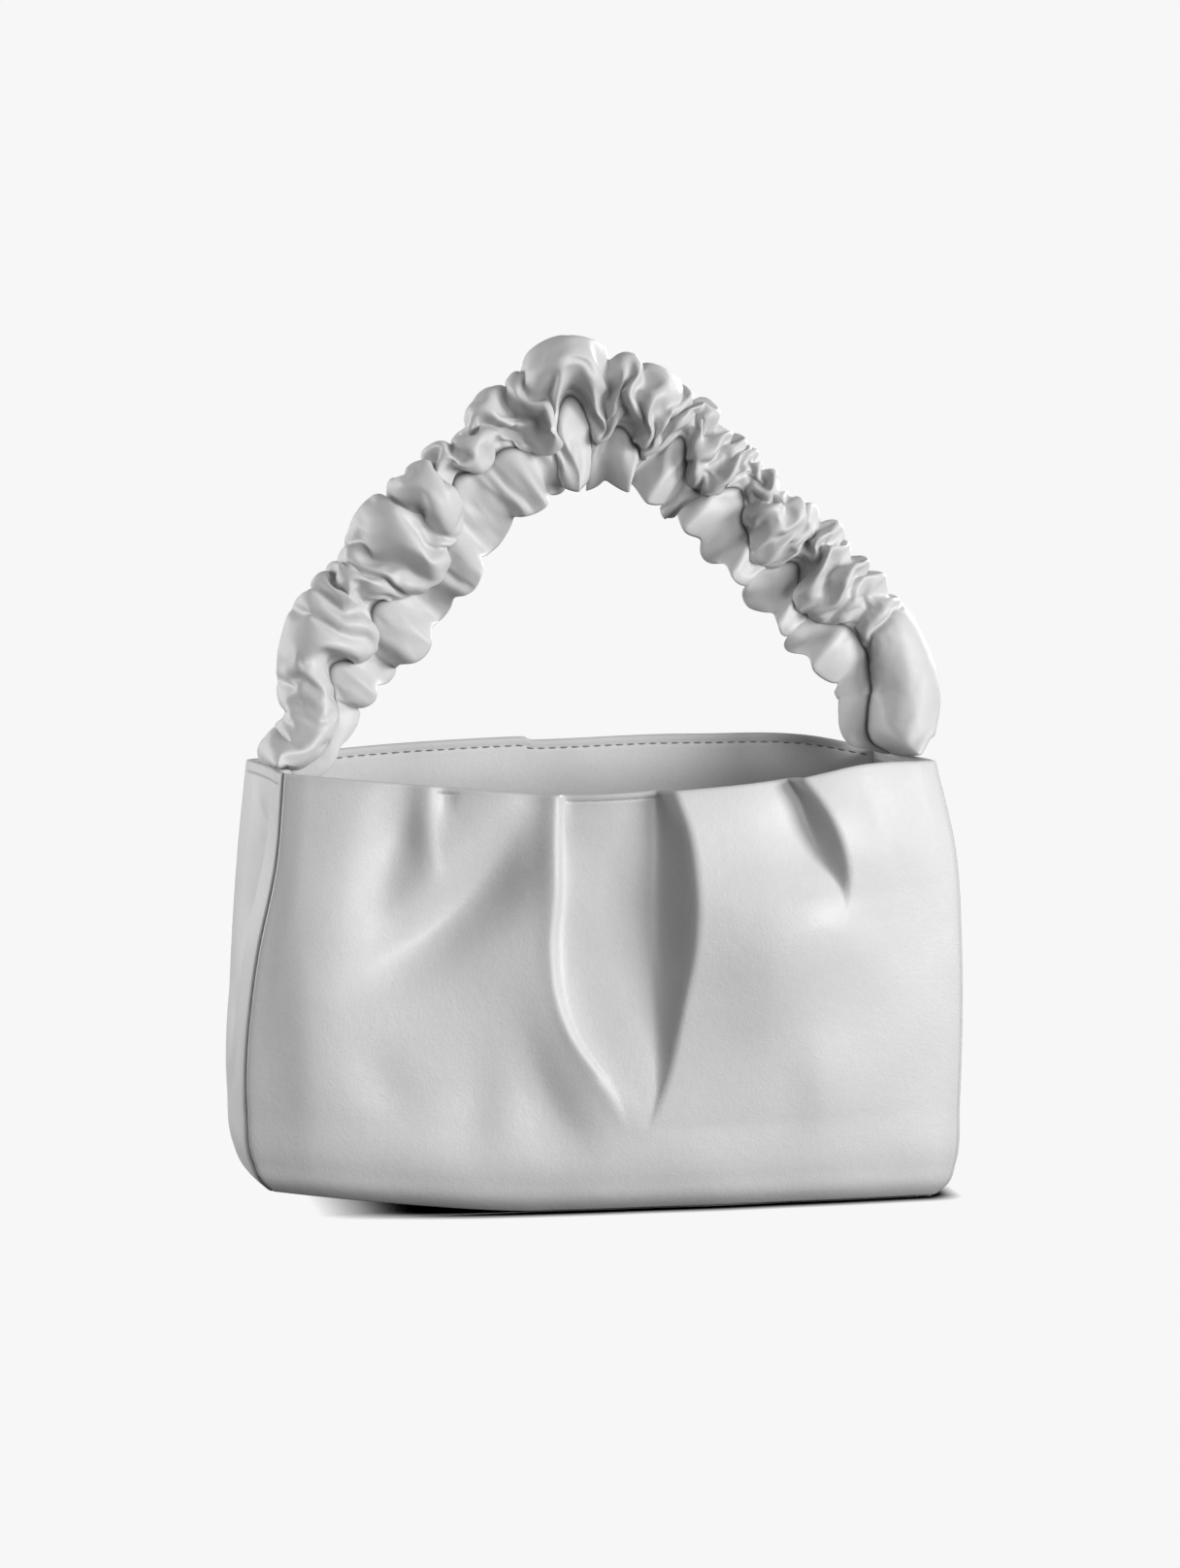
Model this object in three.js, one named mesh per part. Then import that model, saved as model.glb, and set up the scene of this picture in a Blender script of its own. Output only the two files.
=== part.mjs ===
// A small soft leather handbag that stands on its base, with a pleated front and a gathered top handle.
// Five sewn panels make the open body: front, back, two side gussets and a base.
// The handle is one leather sleeve, gathered along its length, pinched flat and sewn to the tops of the gussets.
// Millimetres. +X is the wearer's right when the front is seen, the front faces -Y, and +Z is up.
// The origin is on the flat underside of the base, half way between front and back.

import * as THREE from "three";

// Driving dimensions
const BODY_HEIGHT = 149; // nominal height of the corner seams
const WALL = 2; // body leather with its backing
const SLEEVE_WALL = 2; // leather of the gathered handle, folded once
const BASE_THICKNESS = 2.4;
const SEAM_GAP = 0.3; // clear space along every seam

// The left end of the soft base rises off the floor: where the rise starts and ends, how high, and how it grows.
const BASE_RISE = { startX: -25, endX: -113, height: 9, power: 1.3, fadeHeight: 70 };

// Level sections of the body, from the floor up.
// x of the four corner seams, y of the front and back seams,
// and how far the middle of the front, back and side panels bows out past its seams.
const SECTIONS = [
  { z: 0, frontLeft: -113, frontRight: 119, backLeft: -111, backRight: 115, front: -35, back: 34, frontBow: 5, backBow: 4, sideBow: 2 },
  { z: 4, frontLeft: -117, frontRight: 122.5, backLeft: -115, backRight: 118.5, front: -38.5, back: 37.5, frontBow: 6, backBow: 5, sideBow: 2.5 },
  { z: 12, frontLeft: -120.5, frontRight: 125, backLeft: -118, backRight: 121, front: -40.5, back: 39.5, frontBow: 7.5, backBow: 6, sideBow: 3 },
  { z: 32, frontLeft: -122.5, frontRight: 126, backLeft: -120, backRight: 122, front: -41.5, back: 40.5, frontBow: 9, backBow: 7.5, sideBow: 3 },
  { z: 60, frontLeft: -122, frontRight: 127, backLeft: -120, backRight: 122, front: -41, back: 40, frontBow: 10, backBow: 8, sideBow: 2 },
  { z: 88, frontLeft: -118.5, frontRight: 127, backLeft: -119, backRight: 121.5, front: -40, back: 39.5, frontBow: 10.5, backBow: 8, sideBow: 0.5 },
  { z: 118, frontLeft: -112, frontRight: 125.5, backLeft: -117, backRight: 120, front: -38, back: 38.5, frontBow: 11, backBow: 7, sideBow: -1 },
  { z: 149, frontLeft: -109, frontRight: 118.5, backLeft: -114, backRight: 117, front: -36, back: 37, frontBow: 11, backBow: 6, sideBow: -2 },
];

// Height of the rims from the left seam to the right one: the pleated front sags, the back stands up.
const FRONT_RIM = [
  { across: 0, z: 150 },
  { across: 0.24, z: 145 },
  { across: 0.42, z: 142 },
  { across: 0.58, z: 143.5 },
  { across: 0.76, z: 147 },
  { across: 0.88, z: 151.5 },
  { across: 1, z: 152 },
];
const BACK_RIM = [
  { across: 0, z: 151 },
  { across: 0.18, z: 155 },
  { across: 0.44, z: 158 },
  { across: 0.7, z: 158.4 },
  { across: 0.9, z: 157.4 },
  { across: 1, z: 153 },
];

// Pleats and drag lines. Each runs from a top point to an end point, with depth into the bag (a minus stands out),
// reach to the left and right of its line, and its strength at the top end and where along it is deepest.
const FRONT_FOLDS = [
  { name: "left_tuck", topX: -59, topZ: 143, endX: -56, endZ: 109, depth: -3, left: 5, right: 4, start: 0.8, peak: 0.3 },
  { name: "left_valley", topX: -66, topZ: 139, endX: -74, endZ: 87, depth: 2.5, left: 8, right: 6, start: 0.6, peak: 0.3 },
  { name: "drag_valley", topX: -20, topZ: 131, endX: -80, endZ: 73, depth: 4.5, left: 11, right: 9, start: 0.2, peak: 0.4 },
  { name: "centre_ridge", topX: -16, topZ: 143, endX: -17, endZ: 79, depth: -3.5, left: 6, right: 12, start: 0.8, peak: 0.4 },
  { name: "sweep_ridge", topX: -18, topZ: 93, endX: 22, endZ: 23, depth: -3, left: 8, right: 12, start: 0.3, peak: 0.4 },
  { name: "deep_pleat", topX: 21, topZ: 147, endX: 17, endZ: 29, depth: 9.5, left: 9, right: 6.5, start: 0.55, peak: 0.32 },
  { name: "right_pleat", topX: 66, topZ: 149, endX: 83, endZ: 95, depth: 6, left: 6, right: 5, start: 0.7, peak: 0.25 },
];
const BACK_FOLDS = [
  { name: "left_tuck", topX: -62, topZ: 157, endX: -70, endZ: 93, depth: -4, left: 6, right: 5, start: 0.7, peak: 0.25 },
  { name: "left_pleat", topX: -10, topZ: 159, endX: -14, endZ: 55, depth: -6, left: 7, right: 6, start: 0.6, peak: 0.3 },
  { name: "right_tuck", topX: 48, topZ: 159, endX: 58, endZ: 87, depth: -4.5, left: 6, right: 6, start: 0.7, peak: 0.25 },
];

// The gathered handle, a row for each puff from the left gusset to the right one: its centre,
// and half its size across (in the plane of the arch) and deep (front to back).
const HANDLE_PUFFS = [
  { x: -111, z: 151.5, across: 3.4, deep: 31 },
  { x: -110, z: 157.5, across: 7, deep: 25 },
  { x: -98, z: 167, across: 11.5, deep: 17 },
  { x: -87, z: 180, across: 13.5, deep: 14 },
  { x: -78, z: 194, across: 18.5, deep: 16 },
  { x: -67, z: 208, across: 19.5, deep: 17 },
  { x: -57, z: 222, across: 19.5, deep: 17 },
  { x: -48, z: 236, across: 17.5, deep: 16 },
  { x: -38, z: 249, across: 15.5, deep: 15 },
  { x: -23, z: 259, across: 18, deep: 16 },
  { x: -7, z: 271, across: 24.5, deep: 18 },
  { x: 8, z: 272, across: 19, deep: 17 },
  { x: 21, z: 267, across: 21, deep: 17 },
  { x: 34, z: 264, across: 19, deep: 16 },
  { x: 46, z: 256, across: 17.5, deep: 15 },
  { x: 57, z: 246, across: 16, deep: 15 },
  { x: 66, z: 234, across: 18.5, deep: 16 },
  { x: 77, z: 223, across: 17, deep: 15 },
  { x: 88, z: 211, across: 16.5, deep: 15 },
  { x: 99, z: 199, across: 16.5, deep: 16 },
  { x: 109, z: 187, across: 17.5, deep: 18 },
  { x: 114, z: 174, across: 17.5, deep: 20 },
  { x: 115.5, z: 163, across: 12.5, deep: 25 },
  { x: 116.2, z: 153.4, across: 3.4, deep: 31 },
];
const CREASE = 0.8; // a crease between two puffs, as a share of their size
const FRILL_PINCH = 0.5; // how far the inner edge of the sleeve narrows into its frill

// Grid sizes of the faceted walls
const FRONT_COLUMNS = 46;
const BACK_COLUMNS = 24;
const SIDE_COLUMNS = 8;
const BASE_COLUMNS = 16;
const BASE_ROWS = 4;
const LEVELS = [0, 0.02, 0.055, 0.11, 0.2, 0.31, 0.43, 0.55, 0.66, 0.76, 0.85, 0.93, 1];
const SLEEVE_SIDES = 12;
const STEPS_PER_PUFF = 3;

const paleLeather = new THREE.MeshStandardMaterial({ color: 0xcfcfcf, roughness: 0.55, metalness: 0 });
const shadedLeather = new THREE.MeshStandardMaterial({ color: 0xc6c6c6, roughness: 0.6, metalness: 0 });
const handleLeather = new THREE.MeshStandardMaterial({ color: 0xcccccc, roughness: 0.5, metalness: 0 });

// A smooth reader of a table: give it a value of the key column and it returns that row, interpolated.
function tableReader(rows, key) {
  const columns = Object.keys(rows[0]).filter((name) => name !== key && name !== "name");
  const keys = rows.map((row) => row[key]);
  const values = rows.flatMap((row) => columns.map((name) => row[name]));
  const spline = new THREE.CubicInterpolant(keys, values, columns.length);
  return (at) => {
    const found = spline.evaluate(THREE.MathUtils.clamp(at, keys[0], keys.at(-1)));
    return Object.fromEntries(columns.map((name, i) => [name, found[i]]));
  };
}

const sectionAt = tableReader(SECTIONS, "z");
const frontRimAt = tableReader(FRONT_RIM, "across");
const backRimAt = tableReader(BACK_RIM, "across");

// How far one fold moves the panel at (x, z): a soft groove along its line, fading out at the lower end.
function foldOffset(fold, x, z) {
  const runX = fold.endX - fold.topX;
  const runZ = fold.endZ - fold.topZ;
  const length = Math.hypot(runX, runZ);
  const along = ((x - fold.topX) * runX + (z - fold.topZ) * runZ) / (length * length);
  const aside = ((x - fold.topX) * -runZ + (z - fold.topZ) * runX) / length;
  const t = THREE.MathUtils.clamp(along, 0, 1);
  const rise = THREE.MathUtils.smoothstep(t, 0, fold.peak);
  const fade = 1 - THREE.MathUtils.smoothstep(t, fold.peak, 1);
  const strength = t < fold.peak ? fold.start + (1 - fold.start) * rise : fade;
  const reach = aside < 0 ? fold.left : fold.right;
  return fold.depth * strength * Math.exp(-((aside / reach) ** 2));
}

const foldsOffset = (folds, x, z) => folds.reduce((sum, fold) => sum + foldOffset(fold, x, z), 0);

// The base rises towards its left end, and the walls above it take up less of that rise.
function riseAt(x, z) {
  const { startX, endX, height, power, fadeHeight } = BASE_RISE;
  const share = Math.max(0, (startX - x) / (startX - endX));
  return height * share ** power * Math.max(0, 1 - z / fadeHeight);
}

// A section's corner seams, moved into the bag by the leather's thickness where inset is WALL.
// The wall leans out near the floor, so the inset is split between level and upward.
function cornersAt(z, inset) {
  const step = 0.5;
  const slope = (sectionAt(z + step).front - sectionAt(z - step).front) / (2 * step);
  const level = inset / Math.hypot(1, slope);
  const s = sectionAt(z);
  return {
    ...s,
    frontLeft: s.frontLeft + level,
    backLeft: s.backLeft + level,
    frontRight: s.frontRight - level,
    backRight: s.backRight - level,
    front: s.front + level,
    back: s.back - level,
    up: Math.max(0, -slope * level),
  };
}

const bowShape = (u) => (4 * u * (1 - u)) ** 0.85; // 0 at both seams and 1 half way

// A panel's points, with u from one seam to the other and share from the floor to the rim.
function frontPoint(u, share, inset) {
  const c = cornersAt(share * BODY_HEIGHT, inset);
  const x = THREE.MathUtils.lerp(c.frontLeft, c.frontRight, u);
  const z = share * frontRimAt(u).z;
  const y = c.front - c.frontBow * bowShape(u) + foldsOffset(FRONT_FOLDS, x, z);
  return new THREE.Vector3(x, y, z + c.up * (1 - share) + riseAt(x, z));
}

function backPoint(u, share, inset) {
  const c = cornersAt(share * BODY_HEIGHT, inset);
  const x = THREE.MathUtils.lerp(c.backLeft, c.backRight, u);
  const z = share * backRimAt(u).z;
  const y = c.back + c.backBow * bowShape(u) - foldsOffset(BACK_FOLDS, x, z);
  return new THREE.Vector3(x, y, z + c.up * (1 - share) + riseAt(x, z));
}

function sidePoint(side, u, share, inset) {
  const c = cornersAt(share * BODY_HEIGHT, inset);
  const seam = side < 0 ? 0 : 1;
  const frontX = side < 0 ? c.frontLeft : c.frontRight;
  const backX = side < 0 ? c.backLeft : c.backRight;
  const x = THREE.MathUtils.lerp(frontX, backX, u) + side * c.sideBow * bowShape(u);
  const y = THREE.MathUtils.lerp(c.front, c.back, u);
  const z = share * THREE.MathUtils.lerp(frontRimAt(seam).z, backRimAt(seam).z, u);
  return new THREE.Vector3(x, y, z + c.up * (1 - share) + riseAt(x, z));
}

// A closed wall from a grid of outer points and the matching grid of inner points.
// columns run along the wall and rows run up it; flip turns the faces of a wall that is seen from the other side.
function wallGeometry(outer, inner, columns, rows, flip) {
  const points = [...outer.flat(), ...inner.flat()];
  const skin = columns * rows;
  const at = (layer, column, row) => layer * skin + row * columns + column;
  const faces = [];
  const quad = (a, b, c, d) => faces.push(...(flip ? [a, c, b, a, d, c] : [a, b, c, a, c, d]));
  for (let row = 0; row < rows - 1; row += 1) {
    for (let column = 0; column < columns - 1; column += 1) {
      quad(at(0, column, row), at(0, column + 1, row), at(0, column + 1, row + 1), at(0, column, row + 1));
      quad(at(1, column, row), at(1, column, row + 1), at(1, column + 1, row + 1), at(1, column + 1, row));
    }
  }
  for (let column = 0; column < columns - 1; column += 1) {
    const top = rows - 1;
    quad(at(1, column, 0), at(1, column + 1, 0), at(0, column + 1, 0), at(0, column, 0));
    quad(at(0, column, top), at(0, column + 1, top), at(1, column + 1, top), at(1, column, top));
  }
  for (let row = 0; row < rows - 1; row += 1) {
    const end = columns - 1;
    quad(at(0, 0, row), at(0, 0, row + 1), at(1, 0, row + 1), at(1, 0, row));
    quad(at(1, end, row), at(1, end, row + 1), at(0, end, row + 1), at(0, end, row));
  }
  const geometry = new THREE.BufferGeometry().setFromPoints(points);
  geometry.setIndex(faces);
  geometry.computeVertexNormals();
  return geometry;
}

// A body panel: its outer and inner skins on one grid, drawn back from both seams by half the gap.
function panelGeometry(pointAt, columns, width, flip) {
  const trim = (0.75 * SEAM_GAP) / width;
  const skin = (inset) =>
    LEVELS.map((share) =>
      Array.from({ length: columns + 1 }, (_, i) => pointAt(THREE.MathUtils.lerp(trim, 1 - trim, i / columns), share, inset)),
    );
  return wallGeometry(skin(0), skin(WALL), columns + 1, LEVELS.length, flip);
}

// The base: a leather plate inside the feet of the four walls, following the rise at its left end.
function baseGeometry() {
  const c = cornersAt(0, WALL);
  const skin = (z) =>
    Array.from({ length: BASE_ROWS + 1 }, (_, row) =>
      Array.from({ length: BASE_COLUMNS + 1 }, (_, column) => {
        const u = column / BASE_COLUMNS;
        const w = row / BASE_ROWS;
        const swell = c.sideBow * bowShape(w) - SEAM_GAP;
        const left = THREE.MathUtils.lerp(c.frontLeft, c.backLeft, w) - swell;
        const right = THREE.MathUtils.lerp(c.frontRight, c.backRight, w) + swell;
        const front = c.front + SEAM_GAP - c.frontBow * bowShape(u);
        const back = c.back - SEAM_GAP + c.backBow * bowShape(u);
        const x = THREE.MathUtils.lerp(left, right, u);
        return new THREE.Vector3(x, THREE.MathUtils.lerp(front, back, w), z + riseAt(x, 0));
      }),
    );
  return wallGeometry(skin(BASE_THICKNESS), skin(0), BASE_COLUMNS + 1, BASE_ROWS + 1, false);
}

// Every section along the sleeve: full at each puff, drawn in at the crease half way to the next.
function sleeveSections() {
  const path = new THREE.CatmullRomCurve3(HANDLE_PUFFS.map((puff) => new THREE.Vector3(puff.x, 0, puff.z)));
  const last = HANDLE_PUFFS.length - 1;
  const sizeAt = tableReader(HANDLE_PUFFS.map(({ across, deep }, row) => ({ row, across, deep })), "row");
  return Array.from({ length: last * STEPS_PER_PUFF + 1 }, (_, i) => {
    const row = i / STEPS_PER_PUFF;
    const plain = row <= 1 || row >= last - 2; // the sewn ends have no gathers
    const gather = plain ? 1 : 1 - (1 - CREASE) * Math.sin(Math.PI * (row % 1)) ** 2;
    const { across, deep } = sizeAt(row);
    const tangent = path.getTangent(row / last);
    return {
      centre: path.getPoint(row / last),
      outward: new THREE.Vector3(-tangent.z, 0, tangent.x),
      across: across * gather,
      deep: deep * gather,
    };
  });
}

// The sleeve: a hollow tube, open at its two sewn ends, whose inner edge narrows into a frill.
function sleeveGeometry() {
  const sections = sleeveSections();
  const depthward = new THREE.Vector3(0, 1, 0);
  const ring = ({ centre, outward, across, deep }, inset) =>
    Array.from({ length: SLEEVE_SIDES + 1 }, (_, k) => {
      const angle = (2 * Math.PI * (k % SLEEVE_SIDES)) / SLEEVE_SIDES;
      const pinch = 1 - FRILL_PINCH * Math.max(0, -Math.cos(angle)) ** 2;
      return centre
        .clone()
        .addScaledVector(outward, (across - inset) * Math.cos(angle))
        .addScaledVector(depthward, (deep * pinch - inset) * Math.sin(angle));
    });
  const outer = sections.map((section) => ring(section, 0));
  const inner = sections.map((section) => ring(section, SLEEVE_WALL));
  return tubeGeometry(outer, inner);
}

// A tube with thickness from rings of outer and inner points, closed at both ends by its own wall.
function tubeGeometry(outer, inner) {
  const sides = SLEEVE_SIDES;
  const rings = outer.length;
  const points = [...outer, ...inner].flatMap((ring) => ring.slice(0, sides));
  const at = (layer, ring, k) => (layer * rings + ring) * sides + (k % sides);
  const faces = [];
  const quad = (a, b, c, d) => faces.push(a, b, c, a, c, d);
  for (let k = 0; k < sides; k += 1) {
    for (let ring = 0; ring < rings - 1; ring += 1) {
      quad(at(0, ring, k), at(0, ring + 1, k), at(0, ring + 1, k + 1), at(0, ring, k + 1));
      quad(at(1, ring, k), at(1, ring, k + 1), at(1, ring + 1, k + 1), at(1, ring + 1, k));
    }
    const end = rings - 1;
    quad(at(0, 0, k), at(0, 0, k + 1), at(1, 0, k + 1), at(1, 0, k));
    quad(at(1, end, k), at(1, end, k + 1), at(0, end, k + 1), at(0, end, k));
  }
  const geometry = new THREE.BufferGeometry().setFromPoints(points);
  geometry.setIndex(faces);
  geometry.computeVertexNormals();
  return geometry;
}

const widest = SECTIONS.find((section) => section.z === 60);
const panelWidth = widest.frontRight - widest.frontLeft;
const sideWidth = widest.back - widest.front;

const bag = new THREE.Group();
bag.name = "gathered_handle_bag";

function addPiece(name, geometry, material) {
  const piece = new THREE.Mesh(geometry, material);
  piece.name = name;
  bag.add(piece);
}

addPiece("base_panel", baseGeometry(), shadedLeather);
addPiece("front_panel", panelGeometry(frontPoint, FRONT_COLUMNS, panelWidth, false), paleLeather);
addPiece("back_panel", panelGeometry(backPoint, BACK_COLUMNS, panelWidth, true), paleLeather);
const leftPoint = (u, share, inset) => sidePoint(-1, u, share, inset);
const rightPoint = (u, share, inset) => sidePoint(1, u, share, inset);
addPiece("left_gusset", panelGeometry(leftPoint, SIDE_COLUMNS, sideWidth, true), shadedLeather);
addPiece("right_gusset", panelGeometry(rightPoint, SIDE_COLUMNS, sideWidth, false), shadedLeather);
addPiece("handle_sleeve", sleeveGeometry(), handleLeather);

export default bag;
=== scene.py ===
import math

import bpy
import numpy as np
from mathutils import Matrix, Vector


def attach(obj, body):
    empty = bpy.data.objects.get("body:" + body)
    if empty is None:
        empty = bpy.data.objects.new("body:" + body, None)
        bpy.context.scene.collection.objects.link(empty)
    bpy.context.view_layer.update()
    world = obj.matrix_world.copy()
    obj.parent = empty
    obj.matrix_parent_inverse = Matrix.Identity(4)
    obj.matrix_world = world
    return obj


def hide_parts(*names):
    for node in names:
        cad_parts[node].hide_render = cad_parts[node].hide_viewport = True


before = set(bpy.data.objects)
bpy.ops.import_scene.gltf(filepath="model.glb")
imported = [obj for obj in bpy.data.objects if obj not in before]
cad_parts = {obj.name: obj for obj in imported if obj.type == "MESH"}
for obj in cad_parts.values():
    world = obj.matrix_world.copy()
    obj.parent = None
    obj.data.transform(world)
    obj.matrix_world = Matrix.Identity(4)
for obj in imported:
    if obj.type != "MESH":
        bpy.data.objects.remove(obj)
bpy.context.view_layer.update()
scene = bpy.context.scene


# Camera
# The bag is seen from the front, a little to its left and just above its rim.
# It is far off with a long lens, so the near and far sides look almost the same size.
VIEW_TURN = math.radians(-11)
VIEW_LIFT = math.radians(3.5)
VIEW_DISTANCE = 1.25
VIEW_TARGET = Vector((0.003, 0, 0.143))
SENSOR = 36
FOCAL_PIXELS = 3685
FRAME_HEIGHT_PIXELS = 1616

towards_camera = Vector((
    math.sin(VIEW_TURN) * math.cos(VIEW_LIFT),
    -math.cos(VIEW_TURN) * math.cos(VIEW_LIFT),
    math.sin(VIEW_LIFT),
))
camera_data = bpy.data.cameras.new("camera")
camera_data.sensor_width = SENSOR
camera_data.lens = SENSOR * FOCAL_PIXELS / FRAME_HEIGHT_PIXELS
camera = bpy.data.objects.new("camera", camera_data)
camera.location = VIEW_TARGET + VIEW_DISTANCE * towards_camera
camera.rotation_euler = towards_camera.to_track_quat("Z", "Y").to_euler()
scene.collection.objects.link(camera)
scene.camera = camera


# Front panel
# The front is one piece of soft pale grey leather, pleated into its top edge, so folds fan out below it.
# Its sides are sewn to the gussets in turned seams, and it rolls under at the foot. Sizes are in mm.
MM = 0.001
LEATHER = 2.0
BODY_HEIGHT = 149.0
FRONT_WIDTH = 248
SEAM_GAP = 0.03
NEAR_SEAM = 2.0
SEWN_BELOW_RIM = 3.0

# The body's level section at each height: where its corners and faces stand, and how far each bows out.
SECTION_COLUMNS = (
    "height", "front_left", "front_right", "back_left", "back_right",
    "front", "back", "front_bow", "back_bow", "side_bow",
)
SECTIONS = np.array([
    (0, -113, 119, -111, 115, -35, 34, 5, 4, 2),
    (4, -117, 122.5, -115, 118.5, -38.5, 37.5, 6, 5, 2.5),
    (12, -120.5, 125, -118, 121, -40.5, 39.5, 7.5, 6, 3),
    (32, -122.5, 126, -120, 122, -41.5, 40.5, 9, 7.5, 3),
    (60, -122, 127, -120, 122, -41, 40, 10, 8, 2),
    (88, -118.5, 127, -119, 121.5, -40, 39.5, 10.5, 8, 0.5),
    (118, -112, 125.5, -117, 120, -38, 38.5, 11, 7, -1),
    (149, -109, 118.5, -114, 117, -36, 37, 11, 6, -2),
], float)

# The rims: a share of the way from left to right, and the height there.
FRONT_RIM = np.array([
    (0, 150), (0.24, 145), (0.42, 142), (0.58, 143.5), (0.76, 147), (0.88, 151.5), (1, 152),
], float)
BACK_RIM = np.array([
    (0, 151), (0.18, 155), (0.44, 158), (0.7, 158.4), (0.9, 157.4), (1, 153),
], float)
BASE_RISE = {"start": -25, "end": -113, "height": 9, "power": 1.3, "fade": 70}

# The two sharp pleats: at each height, where the crest of the overlapping right side stands, how wide the
# slope is that falls away to its left, how deep the step is, and how far left the sunken leather reaches.
PLEAT_COLUMNS = ("height", "crest", "width", "depth", "reach")
DEEP_PLEAT = np.array([
    (30, 14.5, 2, 0, 8),
    (42, 18.6, 3, 1.6, 17),
    (50, 20.8, 5, 3.2, 24),
    (62, 22.9, 7, 6, 34),
    (75, 25, 9, 10, 41),
    (94, 28, 11, 16, 46),
    (116, 28.6, 10.6, 17.5, 45),
    (134, 26.8, 8.4, 15, 43),
    (149, 22.2, 4.5, 9, 38),
], float)
SHORT_PLEAT = np.array([
    (98, 81.5, 2, 0, 20),
    (107, 82.1, 3, 1.8, 26),
    (113, 82.1, 5.5, 5.5, 32),
    (122, 80.1, 7.8, 11.5, 36),
    (132, 76.4, 7.4, 13.5, 36),
    (141, 71.7, 5.2, 11, 34),
    (149, 66, 3.5, 8.5, 30),
], float)

# Each soft fold runs from a top point through a bend to an end, in x and z. Depth goes into the bag,
# and a minus stands out. Left and right are its reach to either side, start is its strength at the top,
# and peak is where along it is deepest.
FOLD_COLUMNS = (
    "top_x", "top_z", "bend_x", "bend_z", "end_x", "end_z", "depth", "left", "right", "start", "peak",
)
FRONT_FOLDS = [
    (-17, 147, -18.5, 110, -18.5, 62, -0.9, 4, 4, 0.9, 0.4),
    (-19.5, 108, -10, 58, 21, 22, -1, 4, 5, 0.1, 0.5),
    (-34, 86, -24, 46, -3, 13, 3.4, 13, 9, 0.1, 0.6),
    (-25, 138, -49, 104, -98, 74, 8.5, 9, 11, 0.3, 0.5),
    (-60, 147, -60, 126, -56, 104, -1.4, 5, 2.8, 0.9, 0.3),
    (-55, 148, -53.5, 136, -51.5, 122, 1.2, 2.8, 7, 1, 0.2),
    (-65, 146, -73, 117, -82, 80, 4.2, 10, 9, 0.4, 0.35),
    (-106, 132, -101, 72, -98, -8, -3.2, 10, 20, 0.4, 0.6),
    (-46, 66, -44, 42, -50, 10, 1.1, 9, 8, 0.1, 0.5),
    (-84, 62, -76, 44, -62, 22, 1, 9, 9, 0.1, 0.5),
    (72, 74, 75, 42, 80, 8, -1.8, 10, 16, 0.1, 0.5),
    (88, 149, 95, 128, 106, 104, 1.4, 6, 5, 0.4, 0.4),
    (83, 108, 64, 88, 36, 60, -2.4, 14, 22, 0.4, 0.3),
    (59, 150, 57, 96, 58, 18, -2.8, 24, 34, 0.7, 0.45),
    (-50, 152, -46, 80, -44, 4, 4, 36, 30, 0.8, 0.75),
]

# Between these places along the rim the pleated leather is tucked, and its sewn edge shows as a line.
RIM_LINES = [(-13, 20), (-57, -50)]
RIM_LINE_FADE = 1.5
RIM_LINE_DEPTH = 1.5
RIM_LINE_BELOW = 2.2
RIM_LINE_WIDTH = 0.4


def smooth_read(keys, values, at):
    """Reads one column of a table at any key, along a smooth curve through its rows."""
    slopes = np.gradient(values, keys)
    at = np.clip(at, keys[0], keys[-1])
    row = np.clip(np.searchsorted(keys, at, side="right") - 1, 0, len(keys) - 2)
    span = keys[row + 1] - keys[row]
    t = (at - keys[row]) / span
    return (
        (2 * t**3 - 3 * t**2 + 1) * values[row]
        + (t**3 - 2 * t**2 + t) * span * slopes[row]
        + (3 * t**2 - 2 * t**3) * values[row + 1]
        + (t**3 - t**2) * span * slopes[row + 1]
    )


def section(column, height):
    """One size of the body's level section at a height."""
    return smooth_read(SECTIONS[:, 0], SECTIONS[:, SECTION_COLUMNS.index(column)], height)


def smoothstep(low, high, at):
    """Nothing up to the low end, one from the high end on, and a soft rise between."""
    t = np.clip((at - low) / (high - low), 0, 1)
    return t * t * (3 - 2 * t)


def bow(share):
    """A panel's swell: nothing at both seams, and one half way between them."""
    return (4 * share * (1 - share)).clip(0) ** 0.85


def off_seams(x, left, right, reach):
    """Nothing at both side seams, and one from a reach away from them."""
    return smoothstep(0, reach, x - left) * smoothstep(0, reach, right - x)


def base_rise(x, z):
    """How far the soft left end of the bag lifts off the floor."""
    share = np.clip((BASE_RISE["start"] - x) / (BASE_RISE["start"] - BASE_RISE["end"]), 0, None)
    return BASE_RISE["height"] * share ** BASE_RISE["power"] * np.clip(1 - z / BASE_RISE["fade"], 0, 1)


def half_way_in(height):
    """Level and upward distance from the leather's outer face to the middle of its thickness."""
    slope = section("front", height + 0.5) - section("front", height - 0.5)
    level = LEATHER / 2 / np.hypot(1, slope)
    return level, np.clip(-slope * level, 0, None)


def seam_trim(face, hand, height):
    """How far a panel and a gusset stop short of their corner, so that their round edges just meet."""
    other_face = "back" if face == "front" else "front"
    side = -1 if hand == "left" else 1
    width = section(face + "_right", height) - section(face + "_left", height)
    depth = section("back", height) - section("front", height)
    slant = side * (section(other_face + "_" + hand, height) - section(face + "_" + hand, height)) / depth
    panel_lean = section(face + "_bow", height) * bow(NEAR_SEAM / width) / NEAR_SEAM
    gusset_lean = section("side_bow", height) * bow(NEAR_SEAM / depth) / NEAR_SEAM + slant
    corner_angle = math.pi / 2 + np.arctan(panel_lean) + np.arctan(gusset_lean)
    return LEATHER / 2 * (1 / np.sin(corner_angle / 2) - 1) + SEAM_GAP


def pleat_size(pleat, column, height):
    """One size of a sharp pleat at a height."""
    return smooth_read(pleat[:, 0], pleat[:, PLEAT_COLUMNS.index(column)], height)


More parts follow.
